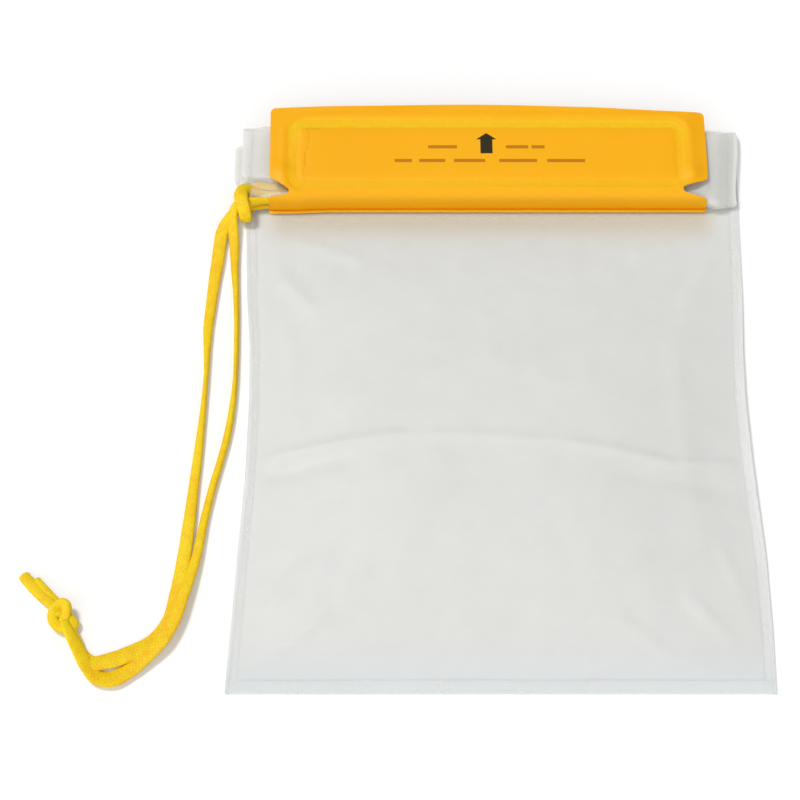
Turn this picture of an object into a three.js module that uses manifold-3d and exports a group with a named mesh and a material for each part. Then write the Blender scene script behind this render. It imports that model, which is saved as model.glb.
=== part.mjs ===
// Waterproof pouch: two welded film sheets, a twice-folded mouth with two press zips,
// a yellow hook-and-loop flap over it, and a braided wrist cord.
// Millimetres, +Z up. The pouch lies on its back sheet, with +X to its right and +Y from the
// hem to the closure. Lengths up the pouch are counted from the hem.
import * as THREE from "three";
import { mergeVertices } from "three/addons/utils/BufferGeometryUtils.js";
import Module from "manifold-3d";

const wasm = await Module();
wasm.setup();

// Film body
const film = 0.25; // thickness of each sheet
const bodyWidth = 151; // of the pouch laid flat
const weld = 3; // welded margin down the sides and along the hem
const bodyLength = 156.5; // hem to the end of the hollow
const puff = 11; // rise of the front sheet over the middle of the hollow
const puffPower = 2.5; // higher is flatter on top and steeper at the welds
const waist = 3.2; // how far the puffed middle draws each side edge in

// Rolled mouth: folded forward at the top fold, then tucked under at the low fold
const rollStandoff = 7.7; // end of the hollow to the middle of the low fold
const rollDepth = 24; // low fold to top fold
const tailLength = 20.8; // low fold to the mouth's edge, inside the roll
const topFoldRadius = 2;
const lowFoldRadius = 1.6;
const tailGap = 0.2; // between the two sheets of the tucked tail
const mouthSlip = -2.8; // sideways offset of the tail, as it was rolled
const gather = 5.3; // how far the hitch pulls the roll's left corner in
const gatherLength = 3; // over which the pull fades
const gatherTop = 4.3; // low fold to where the pull starts to fade
const sealRamp = 4; // from a side weld to where the sheets stand a zip apart

// Press zips
const zipBase = 0.35; // thickness of each strip's flange
const zipFlange = 3; // width of each flange
const zipHeight = 1.6; // film to film, with the two halves pressed together
const ribStem = 0.4; // thickness of the rib's stem
const ribHead = 0.9; // width of the rib's head
const ribHeadHeight = 0.4;
const zipClearance = 0.12; // round the head in the groove
const grooveWall = 0.35;
const firstZip = 2.2; // low fold to the lower zip
const zipPitch = 4.5;
const zipEndGap = 0.5; // from each end of the strips to where the sheets start to close

// Hook and loop tapes
const hookTapeInset = 1.6; // frame weld's outer edge to the hook tape
const loopTapeInset = 2; // how much less the loop tape reaches on each side
const tapeThickness = 0.8;
const tapeGap = 0.2; // between the faces of the two engaged tapes
const tapeCorner = 1.5;

// Closure flap
const flapInset = 9; // side of the pouch to the end of the flap
const flapShift = -0.9; // of the flap's middle from the pouch's
const flapThickness = 0.4;
const flapReach = 8.5; // top fold to the middle of the flap's top edge
const flapBow = 1.6; // how much lower the top edge is at its ends
const flapCorner = 1.3;
const flapStart = 2.1; // end of the hollow to the lower edge of the flap's weld
const flapWeld = 0.9; // flat stretch of that weld
const footBend = 0.4; // centre line radius where the flap leaves the weld
const shoulderBend = 2.4; // centre line radius where it turns flat over the roll
const flapRise = (88 * Math.PI) / 180; // slope of the flap's riser
const beadHeight = 0.5; // hem bead along the weld
const notchDepth = 7;
const notchTip = 1.2; // blunt width of the notch at its tip
const notchLevels = [-2.6, 0.5, 4.2]; // low fold to each notch's lower lip, tip, upper lip
const frameEnd = 5.5; // end of the flap to the frame-shaped weld
const frameMargin = 3.9; // ends of the flap's top edge to the frame
const frameLow = -0.2; // low fold to the frame's lower edge
const frameBand = 3.9;
const frameCorner = 4.5;
const frameDepth = 0.12;

// Cord: a flat braid, doubled, hitched through the mouth's left corner
const cordWidth = 2.8;
const cordThickness = 1.4;
const cordTightWidth = 2; // where the hitch pulls it narrow
const cordSides = 8;
const cordHole = 1.7; // radius of the punched hole
const cordHoleInset = 15.4; // side of the pouch to the hole
const cordHoleZ = 2.3;
const cordLift = 0.1; // air under the cord where it lies

// Facets
const hollowRows = 18; // of the sheets, from the hem's weld to the end of the hollow
const frontColumns = 12; // of the sheets, from ramp to ramp
const backColumns = 5;
const layerRows = 9; // of each flat layer of the roll
const foldFacets = 8; // of each half turn
const cutMargin = 1; // how far a cutting tool runs past what it cuts

// Worked out from the sizes above
const halfWidth = bodyWidth / 2;
const lowFoldY = bodyLength + rollStandoff;
const topFoldY = lowFoldY + rollDepth;
const mouthY = lowFoldY + tailLength;
const rollZ = film + 2 * topFoldRadius; // midway between the sheets of the roll's upper layer
const tailZ = rollZ - 2 * lowFoldRadius; // midway between the sheets of the tail
const zipFloor = rollZ - zipHeight / 2; // face that the ribs are welded to
const zipCeiling = rollZ + zipHeight / 2; // face that the grooves are welded to
const loopTapeZ = zipCeiling + film;
const hookTapeZ = loopTapeZ + tapeThickness + tapeGap;
const flapZ = hookTapeZ + tapeThickness;
const rollMiddleY = (lowFoldY + topFoldY) / 2;
const flapFoot = bodyLength + flapStart;
const flapTop = topFoldY + flapReach;
const flapWidth = bodyWidth - 2 * flapInset;
const frameWidth = flapWidth - 2 * frameEnd;
const frameTop = flapTop - flapBow - frameMargin;
const frameHeight = frameTop - lowFoldY - frameLow;
const frameMiddleY = frameTop - frameHeight / 2;
const hookTape = [frameWidth - 2 * hookTapeInset, frameHeight - 2 * hookTapeInset];
const loopTape = hookTape.map((size) => size - 2 * loopTapeInset);

const UP = Math.PI / 2;

function material(color, roughness, opacity = 1) {
  return new THREE.MeshStandardMaterial({
    color,
    roughness,
    metalness: 0,
    opacity,
    transparent: opacity < 1,
  });
}

const clearFilm = material(0xdcddd9, 0.35, 0.45);
const zipPlastic = material(0xe4e6e4, 0.3, 0.7);
const yellowVinyl = material(0xf9b31a, 0.45);
const whiteTape = material(0xe9e7df, 0.95);
const yellowBraid = material(0xf4c81c, 0.8);

// Closed geometry to a solid, and back to a geometry
function solidOf(geometry) {
  const bare = geometry.clone();
  bare.deleteAttribute("normal");
  bare.deleteAttribute("uv");
  const merged = mergeVertices(bare, 1e-4);
  return new wasm.Manifold(
    new wasm.Mesh({
      numProp: 3,
      vertProperties: new Float32Array(merged.attributes.position.array),
      triVerts: new Uint32Array(merged.index.array),
    }),
  );
}

function geometryOf(solid) {
  const mesh = solid.getMesh();
  const geometry = new THREE.BufferGeometry();
  geometry.setAttribute("position", new THREE.BufferAttribute(mesh.vertProperties, 3));
  geometry.setIndex(new THREE.BufferAttribute(mesh.triVerts, 1));
  geometry.computeVertexNormals();
  return geometry;
}

// Extrusion along +Z moved so that the drawing's axes lie on Y and Z and it runs along X
function alongX(shape, length, middleX = 0) {
  const geometry = new THREE.ExtrudeGeometry(shape, { depth: length, bevelEnabled: false });
  geometry.translate(0, 0, middleX - length / 2);
  const axes = new THREE.Matrix4().makeBasis(
    new THREE.Vector3(0, 1, 0),
    new THREE.Vector3(0, 0, 1),
    new THREE.Vector3(1, 0, 0),
  );
  return geometry.applyMatrix4(axes);
}

function roundedRectangle(width, height, radius, target = new THREE.Shape()) {
  const x = width / 2;
  const y = height / 2;
  target.moveTo(-x + radius, -y);
  target.lineTo(x - radius, -y);
  target.absarc(x - radius, -y + radius, radius, -UP, 0, false);
  target.absarc(x - radius, y - radius, radius, 0, UP, false);
  target.absarc(-x + radius, y - radius, radius, UP, 2 * UP, false);
  target.absarc(-x + radius, -y + radius, radius, 2 * UP, 3 * UP, false);
  return target;
}

function smooth(from, to, value) {
  const t = THREE.MathUtils.clamp((value - from) / (to - from), 0, 1);
  return t * t * (3 - 2 * t);
}

// The route that both sheets follow, seen from the side. Each stop is midway between the
// sheets; facing is the way from there to the back sheet, as an angle from +Y towards +Z.
function bodyStops() {
  const lines = [0];
  for (let i = 0; i <= hollowRows; i++) {
    lines.push(THREE.MathUtils.lerp(weld, bodyLength, i / hollowRows));
  }
  lines.push(lowFoldY);
  return lines.map((y) => ({ y, z: film, facing: -UP, gap: 0, slip: 0, pull: 0 }));
}

function foldStops(y, z, radius, from, gaps, slip, pull) {
  const stops = [];
  for (let i = 0; i <= foldFacets; i++) {
    const share = i / foldFacets;
    const facing = from + Math.PI * share;
    stops.push({
      y: y + radius * Math.cos(facing),
      z: z + radius * Math.sin(facing),
      facing,
      gap: THREE.MathUtils.lerp(gaps[0], gaps[1], share),
      slip,
      pull,
    });
  }
  return stops;
}

// How far the hitch pulls the roll's left edge in
function pullAt(y) {
  const fade = lowFoldY + gatherTop;
  return gather * (1 - smooth(fade, fade + gatherLength, y));
}

function layerStops(fromY, toY, z, facing, gap, slips) {
  const stops = [];
  for (let i = 1; i < layerRows; i++) {
    const share = i / layerRows;
    const y = THREE.MathUtils.lerp(fromY, toY, share);
    stops.push({
      y, z, facing, gap,
      slip: THREE.MathUtils.lerp(slips[0], slips[1], share),
      pull: pullAt(y),
    });
  }
  return stops;
}

const route = [
  ...bodyStops(),
  ...foldStops(topFoldY, film + topFoldRadius, topFoldRadius, -UP, [0, zipHeight], 0, 0),
  ...layerStops(topFoldY, lowFoldY, rollZ, UP, zipHeight, [0, mouthSlip]),
  ...foldStops(
    lowFoldY, tailZ + lowFoldRadius, lowFoldRadius, UP, [zipHeight, tailGap], mouthSlip, gather,
  ),
  ...layerStops(lowFoldY, mouthY, tailZ, 3 * UP, tailGap, [mouthSlip, mouthSlip]),
  { y: mouthY, z: tailZ, facing: 3 * UP, gap: tailGap, slip: mouthSlip, pull: 0 },
];

// Shares of the width at which a sheet has its lines: both welds, both ramps and between
function columnShares(count) {
  const margin = weld / bodyWidth;
  const ramp = (weld + sealRamp) / bodyWidth;
  const shares = [0, margin];
  for (let i = 0; i <= count; i++) {
    shares.push(ramp + ((1 - 2 * ramp) * i) / count);
  }
  return [...shares, 1 - margin, 1];
}

function waistAt(y) {
  return waist * Math.sin((Math.PI * Math.min(y, lowFoldY)) / lowFoldY) ** 2;
}

function puffAt(x, y) {
  const across = Math.min(Math.abs(x) / (halfWidth - weld - waistAt(y)), 1);
  const middle = (weld + bodyLength) / 2;
  const along = Math.min(Math.abs(y - middle) / (middle - weld), 1);
  return puff * (1 - across ** puffPower) * (1 - along ** puffPower);
}

// One sheet as a closed skin of its inner and outer faces. side is 1 for the back sheet, which
// is outside at every fold, and -1 for the front sheet, which alone rises over the hollow.
function sheetGeometry(side, columns) {
  const shares = columnShares(columns);
  const seal = (weld + sealRamp) / bodyWidth;
  const points = [];
  for (const stop of route) {
    const hollow = stop.z === film;
    const drawn = hollow ? waistAt(stop.y) : 0;
    const left = -halfWidth + drawn + stop.slip + stop.pull;
    const right = halfWidth - drawn + stop.slip;
    for (const share of shares) {
      const fromEdge = Math.min(share, 1 - share);
      const apart = fromEdge < seal - 1e-6 ? 0 : stop.gap / 2;
      const x = THREE.MathUtils.lerp(left, right, share);
      const lift = side < 0 && hollow ? puffAt(x, stop.y) : 0;
      for (const distance of [apart, apart + film]) {
        const out = side * distance;
        const y = stop.y + out * Math.cos(stop.facing);
        const z = stop.z + out * Math.sin(stop.facing) + lift;
        points.push(x, y, z);
      }
    }
  }
  const rows = route.length;
  const across = shares.length;
  const near = (i, j) => 2 * (i * across + j);
  const far = (i, j) => near(i, j) + 1;
  const faces = [];
  const quad = (a, b, c, d) => faces.push(...(side > 0 ? [a, b, c, a, c, d] : [a, c, b, a, d, c]));
  for (let i = 0; i + 1 < rows; i++) {
    for (let j = 0; j + 1 < across; j++) {
      quad(near(i, j), near(i, j + 1), near(i + 1, j + 1), near(i + 1, j));
      quad(far(i, j), far(i + 1, j), far(i + 1, j + 1), far(i, j + 1));
    }
    quad(near(i, 0), near(i + 1, 0), far(i + 1, 0), far(i, 0));
    const last = across - 1;
    quad(near(i, last), far(i, last), far(i + 1, last), near(i + 1, last));
  }
  for (let j = 0; j + 1 < across; j++) {
    quad(near(0, j), far(0, j), far(0, j + 1), near(0, j + 1));
    quad(near(rows - 1, j), near(rows - 1, j + 1), far(rows - 1, j + 1), far(rows - 1, j));
  }
  const geometry = new THREE.BufferGeometry();
  geometry.setAttribute("position", new THREE.Float32BufferAttribute(points, 3));
  geometry.setIndex(faces);
  return geometry;
}

// The hole is punched in the wall of the low fold, on the mouth's side of the zips
function punchedSheet(side, columns) {
  const reach = lowFoldRadius + zipHeight / 2 + film + cutMargin;
  const punch = new THREE.CylinderGeometry(cordHole, cordHole, reach, 16);
  punch.translate(cordHoleInset - halfWidth, lowFoldY - reach / 2, cordHoleZ);
  return geometryOf(solidOf(sheetGeometry(side, columns)).subtract(solidOf(punch)));
}

function zipRib(y) {
  const shape = new THREE.Shape();
  const neck = zipHeight - zipBase - 2 * zipClearance - ribHeadHeight;
  shape.moveTo(y - zipFlange / 2, zipFloor);
  shape.lineTo(y + zipFlange / 2, zipFloor);
  shape.lineTo(y + zipFlange / 2, zipFloor + zipBase);
  shape.lineTo(y + ribStem / 2, zipFloor + zipBase);
  shape.lineTo(y + ribStem / 2, zipFloor + neck);
  shape.lineTo(y + ribHead / 2, zipFloor + neck);
  shape.lineTo(y, zipFloor + neck + ribHeadHeight);
  shape.lineTo(y - ribHead / 2, zipFloor + neck);
  shape.lineTo(y - ribStem / 2, zipFloor + neck);
  shape.lineTo(y - ribStem / 2, zipFloor + zipBase);
  shape.lineTo(y - zipFlange / 2, zipFloor + zipBase);
  return shape;
}

function zipGroove(y) {
  const shape = new THREE.Shape();
  const inner = ribHead / 2 + zipClearance;
  const outer = inner + grooveWall;
  const mouth = ribStem / 2 + zipClearance;
  const foot = zipFloor + zipBase + zipClearance;
  const lip = foot + (zipHeight - 2 * zipBase - ribHeadHeight - 2 * zipClearance) / 2;
  const roof = zipCeiling - zipBase;
  shape.moveTo(y - zipFlange / 2, zipCeiling);
  shape.lineTo(y - zipFlange / 2, roof);
  shape.lineTo(y - outer, roof);
  shape.lineTo(y - outer, foot);
  shape.lineTo(y - mouth, foot);
  shape.lineTo(y - mouth, lip - zipClearance);
  shape.lineTo(y - inner, lip);
  shape.lineTo(y - inner, roof);
  shape.lineTo(y + inner, roof);
  shape.lineTo(y + inner, lip);
  shape.lineTo(y + mouth, lip - zipClearance);
  shape.lineTo(y + mouth, foot);
  shape.lineTo(y + outer, foot);
  shape.lineTo(y + outer, roof);
  shape.lineTo(y + zipFlange / 2, roof);
  shape.lineTo(y + zipFlange / 2, zipCeiling);
  return shape;
}

function slipAt(y) {
  return THREE.MathUtils.lerp(mouthSlip, 0, (y - lowFoldY) / rollDepth);
}

function tape(size, middleY, z) {
  const geometry = new THREE.ExtrudeGeometry(roundedRectangle(...size, tapeCorner), {
    depth: tapeThickness, bevelEnabled: false, curveSegments: 4,
  });
  return geometry.translate(flapShift, middleY, z);
}

// Side view of the flap: welded foot with its hem bead, riser, shoulder, and the flat top
function flapSection() {
  const rise = flapRise;
  const half = flapThickness / 2;
  const floor = 2 * film;
  const foot = { y: flapFoot + flapWeld, z: floor + half + footBend };
  const riserY = foot.y + footBend * Math.sin(rise);
  const riserZ = foot.z - footBend * Math.cos(rise);
  const shoulderZ = flapZ + half - shoulderBend;
  const riserTopZ = shoulderZ + shoulderBend * Math.cos(rise);
  const riserTopY = riserY + (riserTopZ - riserZ) / Math.tan(rise);
  const shoulderY = riserTopY + shoulderBend * Math.sin(rise);
  const shape = new THREE.Shape();
  shape.moveTo(flapFoot, floor);
  shape.lineTo(foot.y, floor);
  shape.absarc(foot.y, foot.z, footBend + half, -UP, rise - UP, false);
  shape.absarc(shoulderY, shoulderZ, shoulderBend - half, rise + UP, UP, true);
  shape.lineTo(flapTop, flapZ);
  shape.lineTo(flapTop, flapZ + flapThickness);
  shape.absarc(shoulderY, shoulderZ, shoulderBend + half, UP, rise + UP, false);
  shape.absarc(foot.y, foot.z, footBend - half, rise - UP, -UP, true);
  const weldTop = floor + flapThickness;
  shape.quadraticCurveTo(flapFoot + flapWeld / 2, weldTop + 2 * beadHeight, flapFoot, weldTop);
  return shape;
}

// The flap's outline from above: bowed top edge, rounded corners and a V notch at each end
function flapOutline() {
  const shape = new THREE.Shape();
  const x = flapWidth / 2;
  const tip = x - notchDepth;
  const end = flapTop - flapBow;
  const blunt = notchTip / 2;
  const [low, middle, high] = notchLevels.map((level) => lowFoldY + level);
  shape.moveTo(-x, flapFoot);
  shape.lineTo(x, flapFoot);
  shape.lineTo(x, low);
  shape.lineTo(tip + blunt, middle - blunt);
  shape.quadraticCurveTo(tip - blunt, middle, tip + blunt, middle + blunt);
  shape.lineTo(x, high);
  shape.lineTo(x, end - flapCorner);
  shape.quadraticCurveTo(x, end, x - flapCorner, end);
  shape.quadraticCurveTo(0, flapTop + flapBow, -x + flapCorner, end);
  shape.quadraticCurveTo(-x, end, -x, end - flapCorner);
  shape.lineTo(-x, high);
  shape.lineTo(-tip - blunt, middle + blunt);
  shape.quadraticCurveTo(-tip + blunt, middle, -tip - blunt, middle - blunt);
  shape.lineTo(-x, low);
  return shape;
}

function closureFlap() {
  const blank = alongX(flapSection(), flapWidth + 2 * cutMargin);
  const cutter = new THREE.ExtrudeGeometry(flapOutline(), {
    depth: flapZ + flapThickness + cutMargin, bevelEnabled: false, curveSegments: 8,
  });
  const frame = roundedRectangle(frameWidth, frameHeight, frameCorner);
  frame.holes.push(
    roundedRectangle(
      frameWidth - 2 * frameBand, frameHeight - 2 * frameBand, frameCorner / 2, new THREE.Path(),
    ),
  );
  const press = new THREE.ExtrudeGeometry(frame, {
    depth: cutMargin, bevelEnabled: false, curveSegments: 5,
  });
  press.translate(0, frameMiddleY, flapZ + flapThickness - frameDepth);
  const cut = solidOf(blank).intersect(solidOf(cutter));
  return geometryOf(cut.subtract(solidOf(press))).translate(flapShift, 0, 0);
}

// A curve whose cross-section stays level, as a flat braid lies on its broad side
class LevelCurve extends THREE.CatmullRomCurve3 {
  computeFrenetFrames(segments) {
    const up = new THREE.Vector3(0, 0, 1);
    const frames = { tangents: [], normals: [], binormals: [] };
    for (let i = 0; i <= segments; i++) {
      const tangent = this.getTangentAt(i / segments);
      const sideways = new THREE.Vector3().crossVectors(tangent, up).normalize();
      frames.tangents.push(tangent);
      frames.normals.push(new THREE.Vector3().crossVectors(sideways, tangent));
      frames.binormals.push(sideways);
    }
    return frames;
  }
}

function braid(points, width, steps) {
  const curve = new LevelCurve(points.map((p) => new THREE.Vector3(...p)));
  const section = new THREE.Shape();
  for (let i = 0; i < cordSides; i++) {
    const turn = (2 * Math.PI * i) / cordSides;
    const x = (cordThickness / 2) * Math.cos(turn);
    const y = (width / 2) * Math.sin(turn);
    if (i === 0) section.moveTo(x, y);
    else section.lineTo(x, y);
  }
  return new THREE.ExtrudeGeometry(section, { steps, extrudePath: curve, bevelEnabled: false });
}

// Routes of the cord, chosen by hand, from the pouch's left side and the low fold
const floorZ = cordLift + cordThickness / 2;
const leftRoute = [
  [-4.3, -6.2, 2.2], [-5.4, -9.6, 1.3], [-6.3, -14.2, 0.9], [-6.8, -21.2, floorZ],
  [-7.5, -28.2, floorZ], [-8.2, -37.2, floorZ], [-8.7, -46.2, floorZ], [-8.7, -54.2, floorZ],
  [-8.9, -68.2, floorZ], [-9.6, -82.2, floorZ], [-10.2, -91.2, floorZ], [-10.9, -100.9, floorZ],
  [-11.6, -110.7, floorZ], [-12.6, -122.2, floorZ], [-14.3, -134.2, floorZ],
  [-16.1, -142.6, floorZ], [-19.7, -148.0, floorZ], [-25.9, -151.5, floorZ],
  [-31.5, -153.6, floorZ], [-35.7, -154.2, floorZ], [-38.4, -151.4, floorZ],
  [-41.0, -147.3, 1.8],
];
const rightRoute = [
  [-1.4, -8.8, 2.4], [-1.8, -11.6, 1.5], [-1.9, -15.7, 0.95], [-1.6, -25.2, floorZ],
  [-1.0, -33.2, floorZ], [-0.5, -42.2, floorZ], [-0.2, -54.2, floorZ], [-0.2, -65.2, floorZ],
  [-0.8, -74.2, floorZ], [-1.9, -83.2, floorZ], [-3.6, -91.7, floorZ], [-5.5, -100.2, floorZ],
  [-7.4, -110.7, floorZ], [-9.3, -123.4, 1.3], [-12.3, -135.7, 2.3], [-14.5, -143.2, 2.35],
  [-17.5, -149.0, 2.3], [-21.8, -153.4, 1.4], [-26.5, -157.1, floorZ], [-30.5, -159.3, floorZ],
  [-34.1, -159.4, floorZ], [-38.3, -157.0, floorZ], [-41.7, -152.7, floorZ],
  [-44.0, -148.4, 1.8],
];
const hitchRoute = [
  [-0.8, -2.6, 3.0], [1.5, -3.2, 2.2], [4.0, -3.5, 1.7], [9.0, -3.0, 1.6], [12.9, -3.0, 1.6],
  [15.0, -2.6, 1.8], [15.6, -1.4, 2.05], [15.0, 0.2, 2.25], [12.9, 0.9, 2.3], [8.5, 1.0, 2.3],
  [3.5, 1.0, 2.3], [-0.8, 0.0, 3.0],
];
const longTail = [
  [-48.8, -137.9, 1.8], [-50.9, -135.6, 1.0], [-53.5, -132.6, floorZ], [-57.1, -128.2, floorZ],
];
const shortTail = [
  [-46.0, -136.5, 1.8], [-48.0, -134.2, 1.0], [-50.1, -132.0, floorZ], [-52.7, -129.2, floorZ],
];

const hitchBulb = { place: [-0.8, -1.9, 3.5], radii: [2.7, 6.4, 2.6], turn: 0 };
const stopper = { place: [-45.1, -142.5, 3.15], radii: [3.6, 5.9, 3.05], turn: 0.44 };

function bulb({ place, radii, turn }) {
  const geometry = new THREE.SphereGeometry(1, 16, 10);
  geometry.rotateX(UP);
  geometry.scale(...radii);
  geometry.rotateZ(turn);
  return geometry.translate(...place);
}

function cordHitch() {
  const loop = solidOf(braid(hitchRoute, cordTightWidth, 44));
  return geometryOf(loop.add(solidOf(bulb(hitchBulb))));
}

// The finished group, with the middle of its outline on the origin
const pouch = new THREE.Group();
pouch.position.set(-mouthSlip / 2, -flapTop / 2, 0);

function place(name, geometry, finish) {
  const mesh = new THREE.Mesh(geometry, finish);
  mesh.name = name;
  pouch.add(mesh);
  return mesh;
}

function placeCord(name, geometry) {
  place(name, geometry, yellowBraid).position.set(-halfWidth, lowFoldY, 0);
}

place("back_sheet", punchedSheet(1, backColumns), clearFilm);
place("front_sheet", punchedSheet(-1, frontColumns), clearFilm);

const zipLength = bodyWidth - gather - 2 * (weld + sealRamp + zipEndGap);
["lower", "upper"].forEach((level, i) => {
  const y = lowFoldY + firstZip + zipPitch * i;
  const middleX = slipAt(y) + gather / 2;
  place("zip_rib_" + level, alongX(zipRib(y), zipLength, middleX), zipPlastic);
  place("zip_groove_" + level, alongX(zipGroove(y), zipLength, middleX), zipPlastic);
});

place("loop_tape", tape(loopTape, rollMiddleY, loopTapeZ), whiteTape);
place("hook_tape", tape(hookTape, frameMiddleY, hookTapeZ), whiteTape);
place("closure_flap", closureFlap(), yellowVinyl);

placeCord("cord_hitch", cordHitch());
placeCord("cord_strand_left", braid(leftRoute, cordWidth, 72));
placeCord("cord_strand_right", braid(rightRoute, cordWidth, 72));
placeCord("stopper_knot", bulb(stopper));
placeCord("cord_tail_long", braid(longTail, cordWidth, 8));
placeCord("cord_tail_short", braid(shortTail, cordWidth, 8));

export default pouch;
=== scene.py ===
import math

import bpy
import numpy as np
from bpy.props import FloatProperty, FloatVectorProperty, PointerProperty
from bpy.types import Operator, Panel, PropertyGroup
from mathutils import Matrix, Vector, noise


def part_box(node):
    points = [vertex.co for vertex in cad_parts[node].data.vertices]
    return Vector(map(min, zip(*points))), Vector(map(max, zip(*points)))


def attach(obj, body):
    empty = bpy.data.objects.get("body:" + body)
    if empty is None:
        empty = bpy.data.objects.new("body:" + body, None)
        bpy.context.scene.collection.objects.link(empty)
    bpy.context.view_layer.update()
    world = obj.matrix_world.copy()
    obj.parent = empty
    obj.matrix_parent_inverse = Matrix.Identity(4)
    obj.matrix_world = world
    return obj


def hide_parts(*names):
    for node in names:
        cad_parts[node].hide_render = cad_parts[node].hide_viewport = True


bl_info = {
    "name": "Waterproof pouch",
    "version": (1, 0, 0),
    "blender": (4, 5, 0),
    "location": "View3D > Sidebar > Pouch",
    "description": "Builds the looks of a clear pouch with a rolled mouth, a flap and a wrist cord",
    "category": "Object",
}

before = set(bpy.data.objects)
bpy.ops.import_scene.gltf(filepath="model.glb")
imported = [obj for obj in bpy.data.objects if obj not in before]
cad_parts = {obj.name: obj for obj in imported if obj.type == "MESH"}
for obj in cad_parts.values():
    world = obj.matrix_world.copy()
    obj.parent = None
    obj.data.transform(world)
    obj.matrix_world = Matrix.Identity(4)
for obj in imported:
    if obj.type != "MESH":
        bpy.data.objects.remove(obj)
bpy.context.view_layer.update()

# The pouch's own millimetres: x from its middle, y up from its hem, z up from what it lies on
MM = 0.001
BODY = "root"
BODY_WIDTH = 151.0
BODY_LOW, BODY_HIGH = (np.array(corner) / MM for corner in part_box("back_sheet"))
ORIGIN = np.array([BODY_HIGH[0] - BODY_WIDTH / 2, BODY_LOW[1], 0.0])


def in_row(points):
    """Points in the pouch's millimetres, in the row frame's metres."""
    return (np.asarray(points, float) + ORIGIN) * MM


# Sizes and colours


class FilmSettings(PropertyGroup):
    thickness: FloatProperty(
        name="Film thickness", description="Thickness of each clear sheet",
        default=0.00025, min=0.0001, unit="LENGTH", precision=5,
    )
    puff: FloatProperty(
        name="Rise", description="How far the front sheet stands up over the hollow",
        default=0.011, min=0, unit="LENGTH",
    )
    weld: FloatProperty(
        name="Weld width", description="Welded margin down the sides and along the hem",
        default=0.003, min=0, unit="LENGTH",
    )
    wrinkle: FloatProperty(
        name="Wrinkles", description="Height of the creases in the clear film",
        default=0.0006, min=0, unit="LENGTH", precision=5,
    )
    color: FloatVectorProperty(
        name="Film colour", description="Colour of the frosted film",
        default=(0.915, 0.915, 0.893), subtype="COLOR", min=0, max=1,
    )


class FlapSettings(PropertyGroup):
    thickness: FloatProperty(
        name="Flap thickness", description="Thickness of the opaque vinyl",
        default=0.0004, min=0.0001, unit="LENGTH", precision=5,
    )
    frame_depth: FloatProperty(
        name="Frame depth", description="How deep the frame-shaped weld is pressed in",
        default=0.00026, min=0, unit="LENGTH", precision=5,
    )
    color: FloatVectorProperty(
        name="Flap colour", description="Colour of the opaque vinyl",
        default=(0.95, 0.445, 0.004), subtype="COLOR", min=0, max=1,
    )
    # painted sheen: the lighter, yellower colour given to the pressed frame
    weld_sheen_color: FloatVectorProperty(
        name="Weld colour", description="Colour of the vinyl where the frame is pressed in",
        default=(0.9, 0.55, 0.006), subtype="COLOR", min=0, max=1,
    )
    bar_color: FloatVectorProperty(
        name="Bar colour", description="Colour of the printed bars",
        default=(0.42, 0.13, 0.006), subtype="COLOR", min=0, max=1,
    )
    arrow_color: FloatVectorProperty(
        name="Arrow colour", description="Colour of the printed arrow",
        default=(0.028, 0.022, 0.006), subtype="COLOR", min=0, max=1,
    )


class CordSettings(PropertyGroup):
    yarns: FloatProperty(
        name="Yarns", description="Yarns that run each way round the hollow braid",
        default=10, min=4,
    )
    yarn_pitch: FloatProperty(
        name="Yarn pitch", description="Length of braid in which a yarn moves on by one place",
        default=0.0012, min=0.0005, unit="LENGTH", precision=5,
    )
    relief: FloatProperty(
        name="Yarn relief", description="How far the yarns stand out of the braid",
        default=0.00005, min=0, unit="LENGTH", precision=5,
    )
    color: FloatVectorProperty(
        name="Cord colour", description="Colour of the yarns",
        default=(0.9, 0.68, 0.01), subtype="COLOR", min=0, max=1,
    )
    shade_color: FloatVectorProperty(
        name="Crevice colour", description="Colour between the yarns",
        default=(0.88, 0.48, 0.006), subtype="COLOR", min=0, max=1,
    )


class StudioSettings(PropertyGroup):
    distance: FloatProperty(
        name="Camera distance", description="Camera to the point that it looks at",
        default=0.75496, min=0.2, unit="LENGTH",
    )
    elevation: FloatProperty(
        name="Camera elevation", description="Angle of the view above the table",
        default=math.radians(58.5), subtype="ANGLE",
    )
    lens: FloatProperty(
        name="Lens", description="Focal length of the camera in millimetres",
        default=116.8, min=20,
    )
    sky: FloatProperty(
        name="Sky light", description="Strength of the even light from all round",
        default=0.24, min=0,
    )
    fill: FloatProperty(
        name="Fill light", description="Strength of the broad lamp in front",
        default=2.0, min=0,
    )
    key: FloatProperty(
        name="Key light", description="Strength of the lamp at the upper left",
        default=1.84, min=0,
    )


# Node helpers


def give(tree, socket, value):
    """Links a value to a socket, or sets it there if it is a number or a colour."""
    if isinstance(value, bpy.types.NodeSocket):
        tree.links.new(value, socket)
    else:
        socket.default_value = (*value, 1) if socket.type == "RGBA" else value


def node(tree, kind, inputs=None, **settings):
    """One shader node, with its settings and its inputs' values or links."""
    made = tree.nodes.new(kind)
    for key, value in settings.items():
        setattr(made, key, value)
    for key, value in (inputs or {}).items():
        give(tree, made.inputs[key], value)
    return made


def maths(tree, operation, *values):
    return node(tree, "ShaderNodeMath", dict(enumerate(values)), operation=operation).outputs[0]


def times(tree, first, second):
    return maths(tree, "MULTIPLY", first, second)


def remap(tree, value, from_low, from_high, to_low=0.0, to_high=1.0):
    limits = {"From Min": from_low, "From Max": from_high, "To Min": to_low, "To Max": to_high}
    kind = "ShaderNodeMapRange"
    return node(tree, kind, {"Value": value, **limits}, interpolation_type="SMOOTHSTEP").outputs[0]


def mixed(tree, share, first, second):
    inputs = {0: share, 6: first, 7: second}
    return node(tree, "ShaderNodeMix", inputs, data_type="RGBA").outputs[2]


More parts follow.
